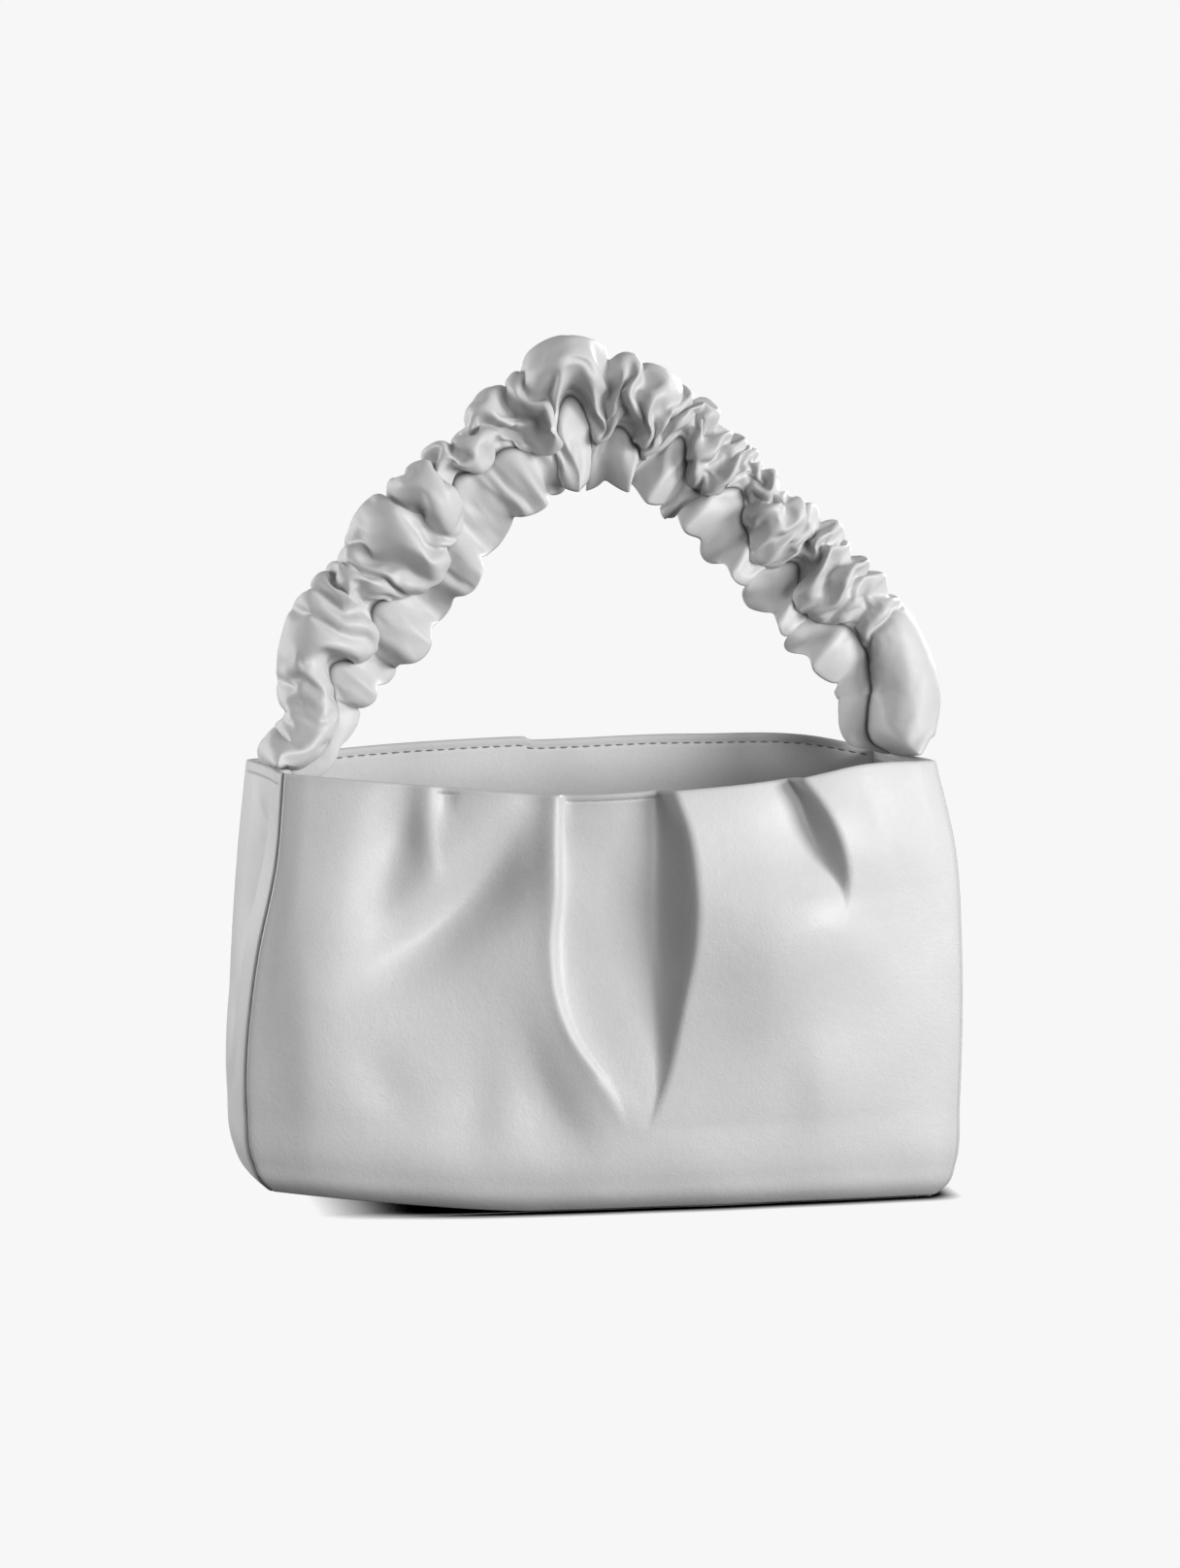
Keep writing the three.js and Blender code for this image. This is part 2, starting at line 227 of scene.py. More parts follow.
def pleat_offset(pleat, x, height, stand, rise, edge, spread):
    """How far a sharp pleat pushes the leather into the bag. Stand is the share of its step that stands
    out at the crest, and spread how near to the right seam that fades. Rise is how much the dip lessens
    to the left, and edge how sudden the left side of the dip is."""
    width = pleat_size(pleat, "width", height)
    depth = pleat_size(pleat, "depth", height)
    reach = pleat_size(pleat, "reach", height)
    from_crest = pleat_size(pleat, "crest", height) - x
    slope = np.sin(math.pi / 2 * np.clip(from_crest / width, 0, 1)) ** 0.85
    slope = slope - rise * smoothstep(0.25 * reach, 0.95 * reach, from_crest)
    sunk = (slope - stand) * np.exp(-((np.clip(from_crest, 0, None) / reach) ** edge))
    stands_out = -stand * smoothstep(0, spread, section("front_right", height) - x)
    return depth * np.where(from_crest > 0, sunk, stands_out)


def fold_offset(folds, x, z):
    """How far soft folds push the leather into the bag at points of a panel."""
    inward = np.zeros_like(x)
    along = np.linspace(0, 1, 41)
    t = along[:, None]
    for row in folds:
        fold = dict(zip(FOLD_COLUMNS, row))
        top = np.array([fold["top_x"], fold["top_z"]])
        bend = np.array([fold["bend_x"], fold["bend_z"]])
        end = np.array([fold["end_x"], fold["end_z"]])
        line = (1 - t) ** 2 * top + 2 * t * (1 - t) * (2 * bend - (top + end) / 2) + t**2 * end
        run = np.gradient(line, axis=0)
        length = np.linalg.norm(run, axis=1).sum()
        run /= np.linalg.norm(run, axis=1, keepdims=True)
        away_x = x[..., None] - line[:, 0]
        away_z = z[..., None] - line[:, 1]
        nearest = np.argmin(away_x**2 + away_z**2, axis=-1)
        away_x = np.take_along_axis(away_x, nearest[..., None], -1)[..., 0]
        away_z = np.take_along_axis(away_z, nearest[..., None], -1)[..., 0]
        run_x = run[nearest, 0]
        run_z = run[nearest, 1]
        place = np.clip(along[nearest] + (away_x * run_x + away_z * run_z) / length, 0, 1)
        aside = away_z * run_x - away_x * run_z
        growing = fold["start"] + (1 - fold["start"]) * smoothstep(0, fold["peak"], place)
        strength = np.where(place < fold["peak"], growing, 1 - smoothstep(fold["peak"], 1, place))
        reach = np.where(aside < 0, fold["left"], fold["right"])
        inward += fold["depth"] * strength * np.exp(-((aside / reach) ** 2))
    return inward


def edge_graded(length, spacing, fine_end=1.1):
    """Shares from 0 to 1 along a length, close together at both ends, where the leather's edge is round.
    A larger fine end makes more of the far end fine."""
    round_edge = np.array([0, 0.06, 0.25, 0.6, 1.1])
    fine = np.arange(round_edge[-1], fine_end, 0.4)
    steps = int((length - round_edge[-1] - fine_end) / spacing) + 1
    middle = np.linspace(round_edge[-1], length - max(fine_end, round_edge[-1]), steps)[1:-1]
    return np.concatenate([round_edge, middle, length - fine[:0:-1], length - round_edge[::-1]]) / length


def edge_distance(across, share, width, height):
    """Distance in mm from each point of a panel to its nearest edge."""
    return np.minimum(np.minimum(across, 1 - across) * width, np.minimum(share, 1 - share) * height)


def skin(index):
    """Faces over a grid of points. A corner is split from its tip inwards, because both faces of a sheet
    share the corner's two edges."""
    grid = np.stack([index[:-1, :-1], index[:-1, 1:], index[1:, 1:], index[1:, :-1]], axis=-1)
    at_corner = np.zeros(grid.shape[:2], bool)
    at_corner[np.ix_([0, -1], [0, -1])] = True
    split = []
    for row, column in ((0, 0), (0, -1), (-1, 0), (-1, -1)):
        a, b, c, d = grid[row, column].tolist()
        split += [(a, b, c), (a, c, d)] if row == column else [(a, b, d), (b, c, d)]
    return grid[~at_corner].tolist() + split


def leather_sheet(name, middle, from_edge, half=LEATHER / 2, groove_depth=0.0, from_rim=None, hem=0.0):
    """A closed sheet of leather about a grid of middle points in mm, with rounded edges.
    Columns run anticlockwise round the bag and rows run up. A sewn line sinks a groove under the rim,
    and a hem is thicker there."""
    rows, columns, _ = middle.shape
    outward = np.cross(np.gradient(middle, axis=1), np.gradient(middle, axis=0))
    outward /= np.linalg.norm(outward, axis=2, keepdims=True)
    depth = np.full((rows, columns), half)
    if from_rim is not None:
        groove = groove_depth * np.exp(-(((from_rim - SEWN_BELOW_RIM) / 0.7) ** 2))
        depth = depth + hem * (1 - smoothstep(3.4, 4.4, from_rim)) - groove
    rounding = np.clip(from_edge / half, 0, 1)
    depth = depth * np.sqrt(np.clip(1 - (1 - rounding) ** 2, 0, 1))
    outer = middle + outward * depth[..., None]
    inner = middle - outward * depth[..., None]

    # Both faces share the points of the sheet's edge.
    outer_index = np.arange(rows * columns).reshape(rows, columns)
    inner_index = outer_index.copy()
    own_points = np.arange((rows - 2) * (columns - 2)).reshape(rows - 2, columns - 2)
    inner_index[1:-1, 1:-1] = rows * columns + own_points
    points = np.concatenate([outer.reshape(-1, 3), inner[1:-1, 1:-1].reshape(-1, 3)])
    faces = skin(outer_index) + [face[::-1] for face in skin(inner_index)]
    mesh = bpy.data.meshes.new(name)
    mesh.from_pydata((points * MM).tolist(), [], faces)
    # The leather darkens towards every edge: partly edge wear, partly painted shade in the seam grooves.
    near_edge = np.exp(-from_edge / 2.5)
    edge_wear_and_seam_shade = np.concatenate([near_edge.ravel(), near_edge[1:-1, 1:-1].ravel()]).astype(np.float32)
    mesh.attributes.new("edge_wear_and_painted_shade", "FLOAT", "POINT").data.foreach_set("value", edge_wear_and_seam_shade)
    mesh.shade_smooth()
    sheet = bpy.data.objects.new(name, mesh)
    scene.collection.objects.link(sheet)
    return sheet, outer, inner


def leather_material(name, colour, edge_and_shade_colour, roughness, grain_depth, edge_sharpness=1):
    """Soft smooth leather: a fine pebbled grain with pores, cloudy colour and gloss, and a darker edge
    colour, which marks edge wear and paints shade in seams and creases.
    """
    material = bpy.data.materials.new(name)
    material.use_nodes = True
    nodes = material.node_tree.nodes
    links = material.node_tree.links
    shader = nodes["Principled BSDF"]
    shader.inputs["Specular IOR Level"].default_value = 0.42
    shader.inputs["Sheen Weight"].default_value = 0.06
    shader.inputs["Sheen Roughness"].default_value = 0.5
    place = nodes.new("ShaderNodeTexCoord")

    def toned(share):
        return tuple(share * part for part in colour) + (1,)

    def noise(scale, detail, rough=0.5):
        node = nodes.new("ShaderNodeTexNoise")
        node.inputs["Scale"].default_value = scale
        node.inputs["Detail"].default_value = detail
        node.inputs["Roughness"].default_value = rough
        links.new(place.outputs["Object"], node.inputs["Vector"])
        return node.outputs["Fac"]

    def ramp(value, low, high):
        node = nodes.new("ShaderNodeMapRange")
        node.inputs["From Min"].default_value = 0.3
        node.inputs["From Max"].default_value = 0.7
        node.inputs["To Min"].default_value = low
        node.inputs["To Max"].default_value = high
        links.new(value, node.inputs["Value"])
        return node.outputs["Result"]

    def blend(factor, first, second):
        node = nodes.new("ShaderNodeMix")
        node.data_type = "RGBA"
        sockets = (node.inputs["Factor"], node.inputs[6], node.inputs[7])
        for socket, value in zip(sockets, (factor, first, second)):
            if isinstance(value, bpy.types.NodeSocket):
                links.new(value, socket)
            else:
                socket.default_value = value
        return node.outputs[2]

    def bump(height, strength, distance):
        node = nodes.new("ShaderNodeBump")
        node.inputs["Strength"].default_value = strength
        node.inputs["Distance"].default_value = distance
        links.new(height, node.inputs["Height"])
        return node

    cloudy = blend(ramp(noise(26, 3), 0, 1), toned(0.955), toned(1.03))
    mottled = blend(ramp(noise(420, 4, 0.6), 0, 0.3), cloudy, toned(0.9))
    # The darkening attribute holds edge wear and painted shade; the edge colour is its darkest tone.
    edge = nodes.new("ShaderNodeAttribute")
    edge.attribute_name = "edge_wear_and_painted_shade"
    narrowed = nodes.new("ShaderNodeMath")
    narrowed.operation = "POWER"
    narrowed.inputs[1].default_value = edge_sharpness
    links.new(edge.outputs["Fac"], narrowed.inputs[0])
    links.new(blend(narrowed.outputs["Value"], mottled, edge_and_shade_colour + (1,)), shader.inputs["Base Color"])
    links.new(ramp(noise(60, 4, 0.6), roughness - 0.06, roughness + 0.06), shader.inputs["Roughness"])

    pebbles = nodes.new("ShaderNodeTexVoronoi")
    pebbles.feature = "SMOOTH_F1"
    pebbles.inputs["Scale"].default_value = 1100
    pebbles.inputs["Smoothness"].default_value = 0.6
    links.new(place.outputs["Object"], pebbles.inputs["Vector"])
    grain = bump(pebbles.outputs["Distance"], 0.35, grain_depth)
    creased = bump(noise(260, 4, 0.55), 0.3, 3 * grain_depth)
    links.new(grain.outputs["Normal"], creased.inputs["Normal"])
    links.new(creased.outputs["Normal"], shader.inputs["Normal"])
    return material


def pleat_lined_shares(columns, share_rows):
    """Column places for each row of the front, bent so that columns run along the crests of the two sharp
    pleats and along both sides of the line where the deep pleat's dip ends."""
    knots = np.array([0, 0.392, 0.428, 0.575, 0.79, 1])
    heights = share_rows * BODY_HEIGHT
    left = section("front_left", heights)
    width = section("front_right", heights) - left
    deep = pleat_size(DEEP_PLEAT, "crest", heights)
    short = pleat_size(SHORT_PLEAT, "crest", heights)
    dip_side = deep - np.maximum(pleat_size(DEEP_PLEAT, "reach", heights), 24)
    guides = [(guide - left) / width for guide in (dip_side - 3, dip_side + 3, deep, short)]
    bent = np.stack([0 * left, *guides, 0 * left + 1], axis=1)
    return np.stack([np.interp(columns, knots, row) for row in bent])


def front_middle(across, share):
    """The middle of the front's leather, at shares of its width and height."""
    height = share * BODY_HEIGHT
    level, up = half_way_in(height)
    left = section("front_left", height) + level + seam_trim("front", "left", height)
    right = section("front_right", height) - level - seam_trim("front", "right", height)
    x = left + (right - left) * across
    z = share * smooth_read(FRONT_RIM[:, 0], FRONT_RIM[:, 1], across)
    inward = fold_offset(FRONT_FOLDS, x, z) * off_seams(x, left, right, 8)
    inward += pleat_offset(DEEP_PLEAT, x, height, stand=0.5, rise=-0.06, edge=55, spread=75)
    inward += pleat_offset(SHORT_PLEAT, x, height, stand=0.4, rise=0, edge=2, spread=46)
    ripple = 0.25 * np.sin(x / 9 + 1.3 * np.sin(z / 17)) * np.sin(z / 13 + x / 31)
    inward += ripple * off_seams(x, left, right, 12)

    under_rim = (1 - share) * BODY_HEIGHT
    line = RIM_LINE_DEPTH * np.exp(-(((under_rim - RIM_LINE_BELOW) / RIM_LINE_WIDTH) ** 2))
    sunk_below = 0.5 * smoothstep(2, 2.6, under_rim) * (1 - smoothstep(3, 12, under_rim))
    for start, end in RIM_LINES:
        begun = smoothstep(start, start + RIM_LINE_FADE, x)
        ended = smoothstep(end - RIM_LINE_FADE, end, x)
        inward += begun * (1 - ended) * (line + sunk_below)
    y = section("front", height) + level - section("front_bow", height) * bow(across) + inward
    return np.stack([x, y, z + up * (1 - share) + base_rise(x, z)], axis=-1)


front_rows = edge_graded(BODY_HEIGHT, 1.5, fine_end=5)
front_columns = pleat_lined_shares(edge_graded(FRONT_WIDTH, 1.25), front_rows)
front_rows = np.broadcast_to(front_rows[:, None], front_columns.shape)
panel_leather = leather_material("panel_leather", (0.6, 0.6, 0.605), (0.5, 0.5, 0.505), 0.47, 0.00012)
front_panel, _, _ = leather_sheet(
    "front_leather",
    front_middle(front_columns, front_rows),
    edge_distance(front_columns, front_rows, FRONT_WIDTH, BODY_HEIGHT),
)
front_panel.data.materials.append(panel_leather)
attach(front_panel, "root")
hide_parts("front_panel")


# Back panel
# The back is cut like the front and stands a little higher. It is plain leather, with soft folds lower down.
# Its rim is turned in and sewn, and the sewn line shows inside the mouth of the bag.
BACK_WIDTH = 241
BACK_FOLDS = [
    (-64, 136, -74, 92, -90, 28, -3.4, 15, 10, 0.1, 0.45),
    (-46, 132, -52, 86, -62, 24, 2.8, 12, 15, 0.1, 0.45),
    (-6, 138, -11, 84, -26, 14, -3.8, 16, 11, 0.1, 0.4),
    (9, 134, 8, 80, -2, 16, 2.8, 11, 17, 0.1, 0.45),
    (50, 136, 58, 90, 78, 24, -3.4, 15, 10, 0.1, 0.45),
    (66, 132, 76, 88, 94, 28, 2.6, 10, 15, 0.1, 0.45),
    (-100, 140, -60, 118, -20, 124, 1.6, 9, 9, 0.2, 0.4),
    (100, 140, 84, 112, 40, 104, 1.6, 9, 9, 0.2, 0.4),
]
RIM_STEP = {"from": -13.5, "to": -10.5, "level_until": -7, "gone_by": 50, "height": 1.4}


def back_middle(across, share):
    """The middle of the back's leather, at shares of its width, from the right, and of its height."""
    height = share * BODY_HEIGHT
    level, up = half_way_in(height)
    left = section("back_left", height) + level + seam_trim("back", "left", height)
    right = section("back_right", height) - level - seam_trim("back", "right", height)
    x = right + (left - right) * across
    z = share * smooth_read(BACK_RIM[:, 0], BACK_RIM[:, 1], 1 - across)
    step_begun = smoothstep(RIM_STEP["from"], RIM_STEP["to"], x)
    step_gone = smoothstep(RIM_STEP["level_until"], RIM_STEP["gone_by"], x)
    z = z - RIM_STEP["height"] * step_begun * (1 - step_gone) * share**6
    ripple = 0.35 * np.sin(x / 10 + 1.1 * np.sin(z / 15)) * np.sin(z / 14 - x / 29)
    inward = (fold_offset(BACK_FOLDS, x, z) + ripple) * off_seams(x, left, right, 12)
    y = section("back", height) - level + section("back_bow", height) * bow(across) - inward
    return np.stack([x, y, z + up * (1 - share) + base_rise(x, z)], axis=-1)


back_columns, back_rows = np.meshgrid(
    edge_graded(BACK_WIDTH, 1.6), edge_graded(BODY_HEIGHT, 1.7, fine_end=5),
)
back_panel, back_outer, back_inner = leather_sheet(
    "back_leather",
    back_middle(back_columns, back_rows),
    edge_distance(back_columns, back_rows, BACK_WIDTH, BODY_HEIGHT),
    groove_depth=0.25,
    from_rim=(1 - back_rows) * BODY_HEIGHT,
)
back_panel.data.materials.append(panel_leather)
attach(back_panel, "root")
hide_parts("back_panel")


# Rim stitching
# The back's turned-in rim is sewn with one straight row of grey thread, a few millimetres below the edge.
# Each stitch is a short round length of thread that lies in a shallow groove, on both faces.
STITCH_PITCH = 4.1
STITCH_LENGTH = 2.9
THREAD_THICKNESS = 0.62
THREAD_LIFT = 0.12
STITCHES_FROM_SEAM = 4.0

thread = bpy.data.materials.new("grey_thread")
thread.use_nodes = True
thread_nodes = thread.node_tree.nodes
thread_links = thread.node_tree.links
thread_shader = thread_nodes["Principled BSDF"]
thread_shader.inputs["Roughness"].default_value = 0.7
thread_shader.inputs["Sheen Weight"].default_value = 0.2
thread_place = thread_nodes.new("ShaderNodeTexCoord")
thread_fibres = thread_nodes.new("ShaderNodeTexNoise")
thread_fibres.inputs["Scale"].default_value = 2600
# The thread's dark tones are partly its own grey and partly painted shade of the stitch holes.
thread_tones_and_hole_shade = thread_nodes.new("ShaderNodeValToRGB")
thread_tones_and_hole_shade.color_ramp.elements[0].color = (0.1, 0.1, 0.105, 1)
thread_tones_and_hole_shade.color_ramp.elements[1].color = (0.26, 0.26, 0.265, 1)
thread_links.new(thread_place.outputs["Object"], thread_fibres.inputs["Vector"])
thread_links.new(thread_fibres.outputs["Fac"], thread_tones_and_hole_shade.inputs["Fac"])
thread_links.new(thread_tones_and_hole_shade.outputs["Color"], thread_shader.inputs["Base Color"])

# The tree lays a stitch at every pitch along a line of points.
stitch_tree = bpy.data.node_groups.new("row_of_stitches", "GeometryNodeTree")
stitch_tree.interface.new_socket("Geometry", in_out="INPUT", socket_type="NodeSocketGeometry")
stitch_sockets = {}
for label in ("Pitch", "Length", "Thickness"):
    stitch_sockets[label] = stitch_tree.interface.new_socket(
        label, in_out="INPUT", socket_type="NodeSocketFloat",
    )
stitch_sockets["Thread"] = stitch_tree.interface.new_socket(
    "Thread", in_out="INPUT", socket_type="NodeSocketMaterial",
)
stitch_tree.interface.new_socket("Geometry", in_out="OUTPUT", socket_type="NodeSocketGeometry")
row_in = stitch_tree.nodes.new("NodeGroupInput")
row_out = stitch_tree.nodes.new("NodeGroupOutput")
path = stitch_tree.nodes.new("GeometryNodeMeshToCurve")
spaced = stitch_tree.nodes.new("GeometryNodeResampleCurve")
direction = stitch_tree.nodes.new("GeometryNodeInputTangent")
aligned = stitch_tree.nodes.new("FunctionNodeAlignRotationToVector")
shape = stitch_tree.nodes.new("GeometryNodeMeshUVSphere")
sizes = stitch_tree.nodes.new("ShaderNodeCombineXYZ")
stitch = stitch_tree.nodes.new("GeometryNodeTransform")
placed = stitch_tree.nodes.new("GeometryNodeInstanceOnPoints")
realized = stitch_tree.nodes.new("GeometryNodeRealizeInstances")
smooth = stitch_tree.nodes.new("GeometryNodeSetShadeSmooth")
sewn = stitch_tree.nodes.new("GeometryNodeSetMaterial")
spaced.mode = "LENGTH"
aligned.axis = "X"
shape.inputs["Segments"].default_value = 8
shape.inputs["Rings"].default_value = 6
shape.inputs["Radius"].default_value = 0.5
for start, end in (
    (row_in.outputs["Geometry"], path.inputs["Mesh"]),
    (path.outputs["Curve"], spaced.inputs["Curve"]),
    (row_in.outputs["Pitch"], spaced.inputs["Length"]),
    (direction.outputs["Tangent"], aligned.inputs["Vector"]),
    (row_in.outputs["Length"], sizes.inputs["X"]),
    (row_in.outputs["Thickness"], sizes.inputs["Y"]),
    (row_in.outputs["Thickness"], sizes.inputs["Z"]),
    (shape.outputs["Mesh"], stitch.inputs["Geometry"]),
    (sizes.outputs["Vector"], stitch.inputs["Scale"]),
    (spaced.outputs["Curve"], placed.inputs["Points"]),
    (stitch.outputs["Geometry"], placed.inputs["Instance"]),
    (aligned.outputs["Rotation"], placed.inputs["Rotation"]),
    (placed.outputs["Instances"], realized.inputs["Geometry"]),
    (realized.outputs["Geometry"], smooth.inputs["Geometry"]),
    (smooth.outputs["Geometry"], sewn.inputs["Geometry"]),
    (row_in.outputs["Thread"], sewn.inputs["Material"]),
    (sewn.outputs["Geometry"], row_out.inputs["Geometry"]),
):
    stitch_tree.links.new(start, end)


def sew_row(name, face, other_face):
    """A row of stitches under the rim, on one face of the back's leather."""
    from_rim = (1 - back_rows[:, 0]) * BODY_HEIGHT
    row = int(np.argmin(np.abs(from_rim - SEWN_BELOW_RIM)))
    lift = face[row] - other_face[row]
    lift *= THREAD_LIFT / np.linalg.norm(lift, axis=1, keepdims=True)
    from_seam = np.minimum(back_columns[0], 1 - back_columns[0]) * BACK_WIDTH
    line = (face[row] + lift)[from_seam > STITCHES_FROM_SEAM]
    guide = bpy.data.meshes.new(name)
    guide.from_pydata((line * MM).tolist(), [(i, i + 1) for i in range(len(line) - 1)], [])
    stitches = bpy.data.objects.new(name, guide)
    scene.collection.objects.link(stitches)
    sewing = stitches.modifiers.new("sewing", "NODES")
    sewing.node_group = stitch_tree
    sewing[stitch_sockets["Pitch"].identifier] = STITCH_PITCH * MM
    sewing[stitch_sockets["Length"].identifier] = STITCH_LENGTH * MM
    sewing[stitch_sockets["Thickness"].identifier] = THREAD_THICKNESS * MM
    sewing[stitch_sockets["Thread"].identifier] = thread
    finished = stitches.evaluated_get(bpy.context.evaluated_depsgraph_get())
    stitches.data = bpy.data.meshes.new_from_object(finished)
    stitches.modifiers.clear()
    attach(stitches, "root")


sew_row("inner_rim_stitches", back_inner, back_outer)
sew_row("outer_rim_stitches", back_outer, back_inner)


# Side gussets
# The two narrow leather sides are sewn between front and back. Each is pressed in a little below its top,
# with soft folds, and its top edge is rolled into a hem that an end of the handle stands on.
GUSSET_WIDTH = 80
GUSSET_HEM = 0.6
GUSSET_PINCH = {"depth": 2.6, "at": 0.52, "reach": 0.16, "from": 50, "deepest": 120, "gone_by": 149}
GUSSET_FOLDS = [
    (1, 136, 0, 96, 4, 38, 3.4, 9, 9, 0, 0.45),
    (-20, 139, -17, 104, -25, 52, -1.8, 7, 7, 0.4, 0.4),
    (22, 138, 19, 100, 27, 48, -1.8, 7, 8, 0.4, 0.4),
    (-15, 142, 2, 131, 20, 139, 0.9, 3, 3, 0.3, 0.5),
    (-27, 84, -8, 66, 6, 44, 1.3, 7, 7, 0.1, 0.5),
    (29, 66, 14, 44, -12, 26, 1.2, 7, 7, 0.1, 0.5),
]


def gusset_middle(side, across, share):
    """The middle of a gusset's leather, at shares of its width and height.
    Side is -1 for the left gusset and 1 for the right one."""
    height = share * BODY_HEIGHT
    level, up = half_way_in(height)
    hand = "left" if side < 0 else "right"
    towards_back = across if side > 0 else 1 - across
    front_x = section("front_" + hand, height) - side * level
    back_x = section("back_" + hand, height) - side * level
    front_y = section("front", height) + level + seam_trim("front", hand, height)
    back_y = section("back", height) - level - seam_trim("back", hand, height)
    corner = 0 if side < 0 else -1
    rim = FRONT_RIM[corner, 1] + (BACK_RIM[corner, 1] - FRONT_RIM[corner, 1]) * towards_back
    z = share * rim
    y = front_y + (back_y - front_y) * towards_back
    from_pinch = (towards_back - GUSSET_PINCH["at"]) / GUSSET_PINCH["reach"]
    pinch = GUSSET_PINCH["depth"] * np.exp(-(from_pinch**2))
    pinch = pinch * smoothstep(GUSSET_PINCH["from"], GUSSET_PINCH["deepest"], z)
    pinch = pinch * (1 - smoothstep(GUSSET_PINCH["deepest"], GUSSET_PINCH["gone_by"], z))
    wave = 0.4 * np.sin(z / 11 + 3 * towards_back)
    sunk = fold_offset(GUSSET_FOLDS, side * y, z) + pinch - wave
    swell = (section("side_bow", height) - sunk) * bow(towards_back)
    x = front_x + (back_x - front_x) * towards_back + side * swell
    return np.stack([x, y, z + up * (1 - share) + base_rise(x, z)], axis=-1)


# The gussets and base take a copy of the panel leather a shade darker, as painted shade for parts that get
# less light.
gusset_leather = leather_material("gusset_leather", (0.57, 0.57, 0.575), (0.47, 0.47, 0.475), 0.5, 0.00012)
gusset_columns, gusset_rows = np.meshgrid(
    edge_graded(GUSSET_WIDTH, 1.5), edge_graded(BODY_HEIGHT, 1.6, fine_end=6),
)
gusset_from_seam = np.minimum(gusset_columns, 1 - gusset_columns) * GUSSET_WIDTH
for side, node in ((-1, "left_gusset"), (1, "right_gusset")):
    gusset, _, _ = leather_sheet(
        node + "_leather",
        gusset_middle(side, gusset_columns, gusset_rows),
        edge_distance(gusset_columns, gusset_rows, GUSSET_WIDTH, BODY_HEIGHT),
        from_rim=(1 - gusset_rows) * BODY_HEIGHT,
        hem=GUSSET_HEM * smoothstep(1, 7, gusset_from_seam),
    )
    gusset.data.materials.append(gusset_leather)
    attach(gusset, "root")
    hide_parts(node)


# Base
# The base is a plain leather plate set inside the feet of the four walls. It lies flat on the floor,
# and its left end curls up with the soft corner above it.
BASE_THICKNESS = 2.4
BASE_WIDTH = 228
BASE_DEPTH = 72
BASE_GAP = 0.3


def base_middle(across, deep):
    """The middle of the base's leather, at shares of its width and of its depth from front to back."""
    level, _ = half_way_in(0.0)
    inset = 2 * level + BASE_GAP
    foot = {column: section(column, 0.0) for column in SECTION_COLUMNS}
    side_swell = foot["side_bow"] * bow(deep)
    left = foot["front_left"] + (foot["back_left"] - foot["front_left"]) * deep + inset - side_swell
    right = foot["front_right"] + (foot["back_right"] - foot["front_right"]) * deep - inset + side_swell
    front = foot["front"] + inset - foot["front_bow"] * bow(across)
    back = foot["back"] - inset + foot["back_bow"] * bow(across)
    x = left + (right - left) * across
    y = front + (back - front) * deep
    return np.stack([x, y, BASE_THICKNESS / 2 + base_rise(x, 0 * x)], axis=-1)


base_columns, base_rows = np.meshgrid(edge_graded(BASE_WIDTH, 3), edge_graded(BASE_DEPTH, 3))
base_panel, _, _ = leather_sheet(
    "base_leather",
    base_middle(base_columns, base_rows),
    edge_distance(base_columns, base_rows, BASE_WIDTH, BASE_DEPTH),
    half=BASE_THICKNESS / 2,
)
base_panel.data.materials.append(gusset_leather)
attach(base_panel, "root")
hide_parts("base_panel")


# Handle sleeve
# One soft leather sleeve, half as long again as the handle, is bunched up along a line sewn through it.
# It stands in puffs outside the line and hangs as a frill inside it. Its flat ends stand on the gusset hems.

